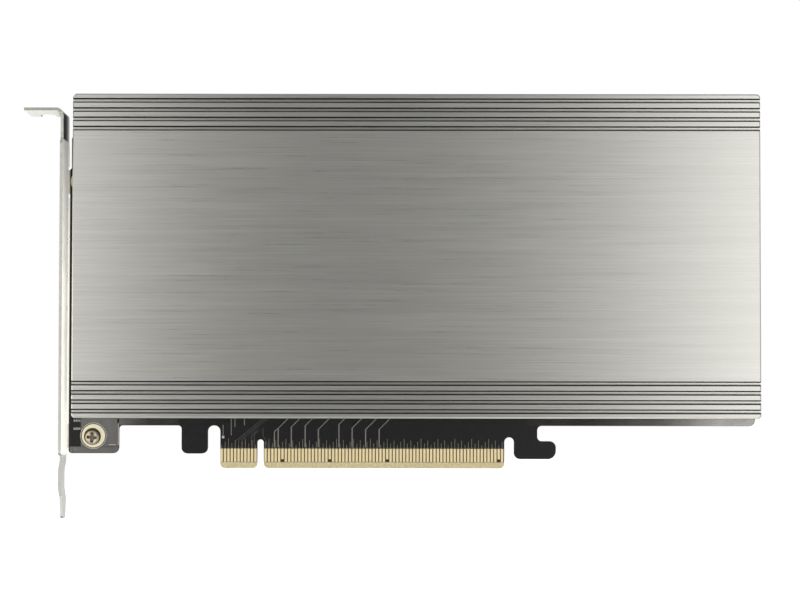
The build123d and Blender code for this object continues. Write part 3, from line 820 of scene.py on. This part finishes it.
class CARD_OT_traces(bpy.types.Operator):
    """Lays the copper traces that stand up under the lacquer on both faces."""

    bl_idname = "card.traces"
    bl_label = "Copper traces"

    def execute(self, context):
        sizes = context.scene.card_sizes
        width, rise = sizes.trace_width, sizes.trace_height
        finish_trim(self.front(width, rise), "front_traces", plain_finish("lacquered_copper_trace"))
        faint = [lay_strip(points, width, -1, rise / 2) for points in FAINT_TRACES]
        finish_trim(faint, "faint_traces", plain_finish("lacquered_copper_behind"))
        finish_trim(self.back(width, rise), "back_traces", plain_finish("lacquered_copper_behind"))
        return {"FINISHED"}

    def front(self, width, rise):
        """Broad traces that bend, upright traces, and a narrow stub of its own height over each contact."""
        made = []
        end = FIRST_TRACE_END
        for x, bend in FRONT_TRACES:
            made.append(lay_strip([(x, CONTACT_TOP), (x, bend), (x + end - bend, end)], width * 1.5, -1, rise))
            end = UNDER_COVER
        for x, low, high in FRONT_UPRIGHTS:
            made.append(lay_strip([(x, low), (x, high)], width, -1, rise))
        stub = lay_strip([(0, 0), (0, 1)], width * 0.6, -1, rise)
        for number, x in enumerate(CONTACTS):
            tall = 0.9 + 0.45 * (number * 7 % 5)
            piece = copy_piece(stub, "stub", (0, 0, 0))
            piece.data.transform(Matrix.Translation((x * MM, 0, 6.0 * MM)) @ Matrix.Diagonal((1, 1, tall, 1)))
            made.append(piece)
        bpy.data.objects.remove(stub)
        return made

    def back(self, width, rise):
        """Bundles that lead from the contacts to the bays: up, aslant, and up again."""
        made = []
        for first, run_first, bend, bay in BACK_BUNDLES:
            for line in range(BUNDLE_LINES):
                x, target = first + BUNDLE_STEP * line, run_first + RUN_STEP * line
                corner = bend + target - x
                points = [(x, CONTACT_TOP), (x, bend), (target, corner), (target, BAY_LEVELS[bay] + line % 2)]
                made.append(lay_strip(points, width, 1, rise))
        return made


class CARD_OT_copper_planes(bpy.types.Operator):
    """Lays the broad copper areas that show through the lacquer, round the lower screw and under the cover's edge."""

    bl_idname = "card.copper_planes"
    bl_label = "Copper planes"

    def execute(self, context):
        made = []
        for low, high in COPPER_AREAS:
            piece = start_slab("plane", low, high, -BOARD_FACE - 0.02 * MM, -BOARD_FACE)
            edit_edges(piece, lambda edge: abs(edge.verts[0].co.y - edge.verts[1].co.y) > NEAR)
            bpy.ops.mesh.bevel(offset=0.4 * MM, segments=4)
            leave_edit()
            made.append(piece)
        screw_area, tab_area, _, end_area = made
        cut_away(screw_area, round_bar(*BRACKET_SCREWS[0], 3.6))
        cut_away(tab_area, corner_waste(-42.0, 4.45, 1, -1, 1.3))
        cut_away(end_area, corner_waste(146.15, 12.65, 1, -1, 1.7))
        finish_trim(made, "copper_planes", lacquered_plane())
        return {"FINISHED"}


class CARD_OT_printing(bpy.types.Operator):
    """Prints the circle round the screw's ring and the small plain marks."""

    bl_idname = "card.printing"
    bl_label = "Printed marks"

    def execute(self, context):
        rise = 0.035 * MM
        x, z = BRACKET_SCREWS[0]
        made = [flat_ring((x * MM, -BOARD_FACE, z * MM), 3.74 * MM, 3.88 * MM, -rise)]
        for side, marks in ((-1, FRONT_MARKS), (1, BACK_MARKS)):
            for x, z, wide, tall in marks:
                made.append(lay_strip([(x, z - tall / 2), (x, z + tall / 2)], wide * MM, side, rise))
        finish_trim(made, "printed_marks", plain_finish("white_printing_ink"))
        return {"FINISHED"}


class CARD_OT_hole_rings(bpy.types.Operator):
    """Plates a ring round each module hole and standoff on both faces, and sets the small vias behind."""

    bl_idname = "card.hole_rings"
    bl_label = "Hole rings and vias"

    def execute(self, context):
        rings = []
        for side, columns in ((-1, (-20, 0)), (1, (-20, 0, -50))):
            first = flat_ring((0, side * BOARD_FACE, 0), 1.85 * MM, 2.75 * MM, side * 0.03 * MM)
            for x in columns:
                for z in BAY_LEVELS:
                    rings.append(copy_piece(first, "ring", (x * MM, 0, z * MM)))
            bpy.data.objects.remove(first)
        finish_trim(rings, "module_hole_rings", plain_finish("thin_ring_gold"), "gold_plating")
        vias = [self.via_field(*field) for field in VIA_FIELDS]
        finish_trim(vias, "tented_vias", plain_finish("lacquered_copper_behind"))
        return {"FINISHED"}

    def via_field(self, x, z, across, up, step):
        """A field of round vias, each a low rim with a dip in the middle."""
        place = (x * MM, BOARD_FACE, z * MM)
        via = start_ring("via", place, 0.28 * MM, 10)
        edit_edges(via, lambda edge: True)
        extrude_by((0, 0.03 * MM, 0))
        extrude_by((0, 0, 0))
        grow_about(place, 0.5)
        extrude_by((0, -0.02 * MM, 0))
        leave_edit()
        close_ends_outwards(via)
        repeat(via, across, (step * MM, 0, 0))
        repeat(via, up, (0, 0, step * MM))
        return via


class CARD_OT_bracket(bpy.types.Operator):
    """Rounds the sheet edges of the slot bracket and plates it."""

    bl_idname = "card.bracket"
    bl_label = "Slot bracket"

    def execute(self, context):
        edge_round = context.scene.card_sizes.edge_round
        round_solid("slot_bracket", "slot_bracket_sheet", edge_round, bracket_steel(), "plated_steel")
        return {"FINISHED"}


class CARD_OT_screws(bpy.types.Operator):
    """Models the cross-recessed pan-head screws, two for the bracket and four for the cover, and the bands of painted
    shadow round the bracket's screws.
    """

    bl_idname = "card.screws"
    bl_label = "Screws"

    def execute(self, context):
        seat = -BOARD_FACE - 0.05 * MM
        first = pan_screw(2.1 * MM, 1.6 * MM, 1.45 * MM, seat, 2.445 * MM, 0.5 * MM)
        self.place(first, self.shifted(SCREW_SHIFT), "bracket_screws", 4)
        bands = []
        # Painted shadow: a dark band round each bracket screw, shifted so that it shows as a crescent beside the head.
        for x, z in self.shifted(BAND_SHIFT):
            bands.append(flat_ring((x * MM, seat, z * MM), 1.76 * MM, 2.52 * MM, -0.01 * MM))
        finish_trim(bands, "painted_shadow_bands", plain_finish("painted_screw_shadow"), "gold_plating")
        first = pan_screw(2.2 * MM, 1.5 * MM, 1.15 * MM, BOARD_FACE, -6.785 * MM, 0.45 * MM)
        self.place(first, COVER_SCREWS, "cover_screws", 35)
        return {"FINISHED"}

    def shifted(self, shift):
        """The places of the bracket's screws, moved by shift."""
        return [(x + shift[0], z + shift[1]) for x, z in BRACKET_SCREWS]

    def place(self, first, places, node, turn):
        """Copies the screw to its places, each turned a little further, as screws end up."""
        made = []
        for number, (x, z) in enumerate(places):
            piece = copy_piece(first, "screw", (0, 0, 0))
            angle = Matrix.Rotation(math.radians(turn + 53 * number), 4, "Y")
            piece.data.transform(Matrix.Translation((x * MM, 0, z * MM)) @ angle)
            made.append(piece)
        bpy.data.objects.remove(first)
        place_piece(join_pieces(made, node + "_cross_head"), "screw_steel", node)


def pan_screw(head_radius, head_height, shank_radius, seat, tip, thread):
    """A screw on the Y axis: a domed head with a tapered cross recess outside the seat, and a threaded shank."""
    outward = -1 if seat < tip else 1
    piece = start_ring("screw", (0, tip, 0), shank_radius * 0.7, 24)
    edit_edges(piece, lambda edge: True)
    run = abs(tip - seat)
    turns = int(run / thread)
    for _ in range(turns):
        for share in (1.0, 0.8):
            extrude_by((0, outward * run / turns / 2, 0))
            size_rim(piece, shank_radius * share)
    for share, rise in HEAD_PROFILE:
        extrude_by((0, outward * head_height * rise, 0))
        size_rim(piece, head_radius * share)
    bpy.ops.mesh.select_all(action="DESELECT")
    leave_edit()
    close_ends_outwards(piece)
    paint(piece, plain_finish("nickel_plated_screw"))
    # Painted shade: the recess takes a darker copy of the screw's metal.
    piece.data.materials.append(plain_finish("painted_recess_shade"))
    cut_cross(piece, seat + outward * head_height, outward, head_radius, head_height)
    select_only(piece)
    bpy.ops.object.shade_smooth_by_angle(angle=math.radians(35))
    return piece


def cut_cross(piece, top, outward, head_radius, head_height):
    """Cuts the cross recess: four arms that narrow towards its floor."""
    reach, half_width, taper = 0.86 * head_radius, 0.24 * head_radius, 0.55
    floor = top - outward * head_height * 0.62
    low, high = sorted((floor, top + outward * head_height * 0.3))
    for across, up in ((reach, half_width), (half_width, reach)):
        cutter = start_block("cutter", (-across, low, -up), (across, high, up))
        edit_faces(cutter, lambda face: abs(face.calc_center_median().y - floor) < NEAR)
        grow_about((0, floor, 0), taper)
        leave_edit()
        for name in ("nickel_plated_screw", "painted_recess_shade"):
            cutter.data.materials.append(bpy.data.materials[name])
        for face in cutter.data.polygons:
            face.material_index = 1
        cut_away(piece, cutter)


class CARD_OT_module_bays(bpy.types.Operator):
    """Finishes the sockets, their contacts, the standoffs and the thermal pads."""

    bl_idname = "card.module_bays"
    bl_label = "Module bays"

    def execute(self, context):
        plastic = plain_finish("liquid_crystal_polymer")
        brass = plain_finish("nickel_plated_brass")
        silicone = plain_finish("filled_silicone_pad")
        for bay in "1234":
            round_solid("m2_socket_" + bay, "keyed_socket_" + bay, 0.12 * MM, plastic, "socket_plastic")
            round_solid("m2_standoff_" + bay, "hex_standoff_" + bay, 0.15 * MM, brass, "standoff_brass")
            round_solid("thermal_pad_" + bay, "soft_pad_" + bay, 0.25 * MM, silicone, "silicone_pad")
        self.socket_leads(plain_finish("matt_tin_plate"))
        return {"FINISHED"}

    def socket_leads(self, material):
        """One bent lead, spread along both sides of the first socket, then copied to the others."""
        low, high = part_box("m2_contacts_1")
        reach, width, front, lift = 0.8 * MM, 0.22 * MM, -0.9 * MM, 0.12 * MM
        count, pitch = 37, 0.5 * MM
        pieces = []
        # The root of a lead is its end at the socket, and the foot the other one, which is narrower.
        for x_start, x_end, way in ((low.x, low.x + reach, -1), (high.x - reach, high.x, 1)):
            lead = start_block("lead", (x_start, front, low.z), (x_end, -BOARD_FACE, low.z + width))
            edit_faces(lead, lambda face: face.normal.x * way > 0.9)
            bpy.ops.transform.resize(value=(1, 1, 0.8), center_override=(0, -BOARD_FACE, low.z + width / 2))
            leave_edit()
            root = x_end if way < 0 else x_start
            edit_edges(lead, lambda edge: all(v.co.y < front + NEAR and abs(v.co.x - root) < NEAR for v in edge.verts))
            bpy.ops.transform.translate(value=(0, -lift, 0))
            leave_edit()
            repeat(lead, count, (0, 0, pitch))
            pieces.append(lead)
        first = join_pieces(pieces, "socket_leads_1")
        paint(first, material)
        for bay in (2, 3, 4):
            shift = (0, 0, (BAY_LEVELS[bay - 1] - BAY_LEVELS[0]) * MM)
            place_piece(copy_piece(first, f"socket_leads_{bay}", shift), "tinned_leads", f"m2_contacts_{bay}")
        place_piece(first, "tinned_leads", "m2_contacts_1")


class CARD_OT_power_parts(bpy.types.Operator):
    """Finishes the inductors, regulators, capacitors, clock chip and status lights."""

    bl_idname = "card.power_parts"
    bl_label = "Power parts and lights"

    def execute(self, context):
        for node, name, width, finish, slot in (
            ("power_inductors", "pressed_inductors", 0.25, "pressed_iron_powder", "inductor_body"),
            ("regulator_chips", "regulator_bodies", 0.08, "epoxy_moulding", "chip_body"),
            ("clock_chip", "clock_body", 0.08, "epoxy_moulding", "chip_body"),
            ("bulk_capacitors", "moulded_capacitors", 0.15, "moulded_capacitor_case", "capacitor_can"),
            ("status_leds", "light_lenses", 0.15, "clear_light_lens", "light_lens"),
        ):
            round_solid(node, name, width * MM, plain_finish(finish), slot)
        paint_node("ceramic_capacitors", capped_ceramic())
        return {"FINISHED"}


class CARD_OT_stage(bpy.types.Operator):
    """Makes the pale floor, the studio light and the camera."""

    bl_idname = "card.stage"
    bl_label = "Stage, light and camera"

    def execute(self, context):
        make_floor()
        make_world(context.scene)
        make_lamps()
        make_camera(context.scene)
        context.scene.view_settings.view_transform = "Standard"
        return {"FINISHED"}


def make_floor():
    """A white floor at the bracket's foot that keeps the card's shadow."""
    bpy.ops.object.select_all(action="DESELECT")
    bpy.ops.mesh.primitive_plane_add(size=6, location=(CENTRE_X, 0, CAD_BOX[0][2] - 0.02 * MM))
    floor = bpy.context.object
    floor.name = "floor"
    made, tree = new_material("white_floor")
    rays = add_node(tree, "ShaderNodeLightPath").outputs
    matt = add_node(tree, "ShaderNodeBsdfDiffuse", {"Color": linear("#E6E6E6")}).outputs[0]
    glow = add_node(tree, "ShaderNodeEmission", {"Color": WHITE, "Strength": 0.42}).outputs[0]
    lit = add_node(tree, "ShaderNodeAddShader", {0: matt, 1: glow}).outputs[0]
    clear = add_node(tree, "ShaderNodeBsdfTransparent").outputs[0]
    seen = mix_shaders(tree, rays["Is Camera Ray"], matt, lit)
    whole = mix_shaders(tree, rays["Is Glossy Ray"], seen, clear)
    add_node(tree, "ShaderNodeOutputMaterial", {"Surface": whole})
    paint(floor, made)


def ramp(tree, value, stops):
    """A grey level read from stops of (place, level)."""
    made = add_node(tree, "ShaderNodeValToRGB", {"Fac": value})
    steps = made.color_ramp
    steps.interpolation = "EASE"
    while len(steps.elements) < len(stops):
        steps.elements.new(0.5)
    for element, (place, level) in zip(steps.elements, stops):
        element.position = place
        element.color = (level, level, level, 1)
    return made.outputs[0]


def make_world(scene):
    """A white studio: even light, and in reflections a darker space behind the camera between bright screens."""
    world = bpy.data.worlds.new("white_studio")
    scene.world = world
    world.use_nodes = True
    tree = world.node_tree
    tree.nodes.clear()
    axes = axes_of(tree, "Generated")
    turn = maths(tree, "ARCTAN2", axes["X"], times(tree, axes["Y"], -1.0))
    widest = SCREEN_ANGLES[-1]
    across = spread(tree, turn, 0.0, 1.0, -math.radians(widest), math.radians(widest))
    places = [(angle + widest) / (2 * widest) for angle in SCREEN_ANGLES]
    sideways = ramp(tree, across, list(zip(places, SCREEN_LEVELS)))
    upwards = ramp(tree, spread(tree, axes["Z"], 0.0, 1.0, -1.0, 1.0), HEIGHT_LEVELS)
    behind = spread(tree, axes["Y"], SCREEN_STRENGTH, SCREEN_STRENGTH * 0.6, 0.0, 0.4)
    reflected, even, white = (
        add_node(tree, "ShaderNodeBackground", {"Color": WHITE, "Strength": strength}).outputs[0]
        for strength in (times(tree, sideways, upwards, behind), 0.75, 1.0)
    )
    rays = add_node(tree, "ShaderNodeLightPath").outputs
    lit = mix_shaders(tree, rays["Is Glossy Ray"], even, reflected)
    plain = maths(tree, "MAXIMUM", rays["Is Camera Ray"], rays["Is Transmission Ray"])
    add_node(tree, "ShaderNodeOutputWorld", {"Surface": mix_shaders(tree, plain, lit, white)})


def make_lamp(name, place, aim, power, size):
    """A soft lamp that shows neither to the camera nor in reflections."""
    bpy.ops.object.select_all(action="DESELECT")
    bpy.ops.object.light_add(type="AREA", location=place)
    lamp = bpy.context.object
    lamp.name = name
    lamp.data.energy = power
    lamp.data.size = size
    lamp.rotation_euler = (Vector(aim) - Vector(place)).to_track_quat("-Z", "Y").to_euler()
    lamp.visible_glossy = False
    lamp.visible_camera = False
    return lamp


def make_lamps():
    """Two large lamps, high in front and high behind, and one that shines only on the bracket beside the cover."""
    middle = (CENTRE_X, 0, 0.05)
    make_lamp("front_lamp", (CENTRE_X - 0.5, -1.0, 1.1), middle, 9.0, 0.9)
    make_lamp("back_lamp", (CENTRE_X + 0.5, 1.0, 1.1), middle, 7.0, 0.9)
    way = Vector((math.sin(BRACKET_LAMP_TURN), -math.cos(BRACKET_LAMP_TURN), 0))
    place = BRACKET_AIM + BRACKET_LAMP_DISTANCE * way
    lamp = make_lamp("bracket_lamp", place, BRACKET_AIM, BRACKET_LAMP_POWER, BRACKET_LAMP_SIZE)
    only = bpy.data.collections.new("bracket_only")
    only.objects.link(bpy.data.objects["slot_bracket_sheet"])
    lamp.light_linking.receiver_collection = only


def make_camera(scene):
    """The camera, level with the board's lower edge and looking slightly up."""
    bpy.ops.object.select_all(action="DESELECT")
    bpy.ops.object.camera_add(location=CAMERA_PLACE)
    camera = bpy.context.object
    camera.name = "camera"
    turn = Matrix.Rotation(CAMERA_YAW, 3, "Z") @ Matrix.Rotation(CAMERA_ROLL, 3, "Y")
    camera.rotation_euler = (turn @ Matrix.Rotation(CAMERA_PITCH + math.pi / 2, 3, "X")).to_euler()
    camera.data.lens = CAMERA_LENS
    camera.data.sensor_width = 36
    camera.data.clip_start = 0.01
    camera.data.clip_end = 20
    scene.camera = camera


class CARD_PT_panel(bpy.types.Panel):
    """Lists the card's pieces, sizes and colours in the sidebar."""

    bl_label = "Adapter card"
    bl_idname = "CARD_PT_panel"
    bl_space_type = "VIEW_3D"
    bl_region_type = "UI"
    bl_category = "Card"

    def draw(self, context):
        for group in (context.scene.card_sizes, context.scene.card_colours):
            column = self.layout.column(align=True)
            for name in group.__annotations__:
                column.prop(group, name)
        for piece in PIECES:
            self.layout.operator(piece.bl_idname)


PIECES = (
    CARD_OT_cover,
    CARD_OT_board,
    CARD_OT_contacts,
    CARD_OT_traces,
    CARD_OT_copper_planes,
    CARD_OT_printing,
    CARD_OT_hole_rings,
    CARD_OT_bracket,
    CARD_OT_screws,
    CARD_OT_module_bays,
    CARD_OT_power_parts,
    CARD_OT_stage,
)
CLASSES = (CardColours, CardSizes, *PIECES, CARD_PT_panel)


def register():
    for entry in CLASSES:
        bpy.utils.register_class(entry)
    bpy.types.Scene.card_colours = bpy.props.PointerProperty(type=CardColours)
    bpy.types.Scene.card_sizes = bpy.props.PointerProperty(type=CardSizes)


def unregister():
    del bpy.types.Scene.card_sizes
    del bpy.types.Scene.card_colours
    for entry in reversed(CLASSES):
        bpy.utils.unregister_class(entry)


def main():
    """Registers the add-on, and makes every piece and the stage."""
    register()
    for piece in PIECES:
        group, name = piece.bl_idname.split(".")
        getattr(getattr(bpy.ops, group), name)()


if __name__ == "__main__":
    main()
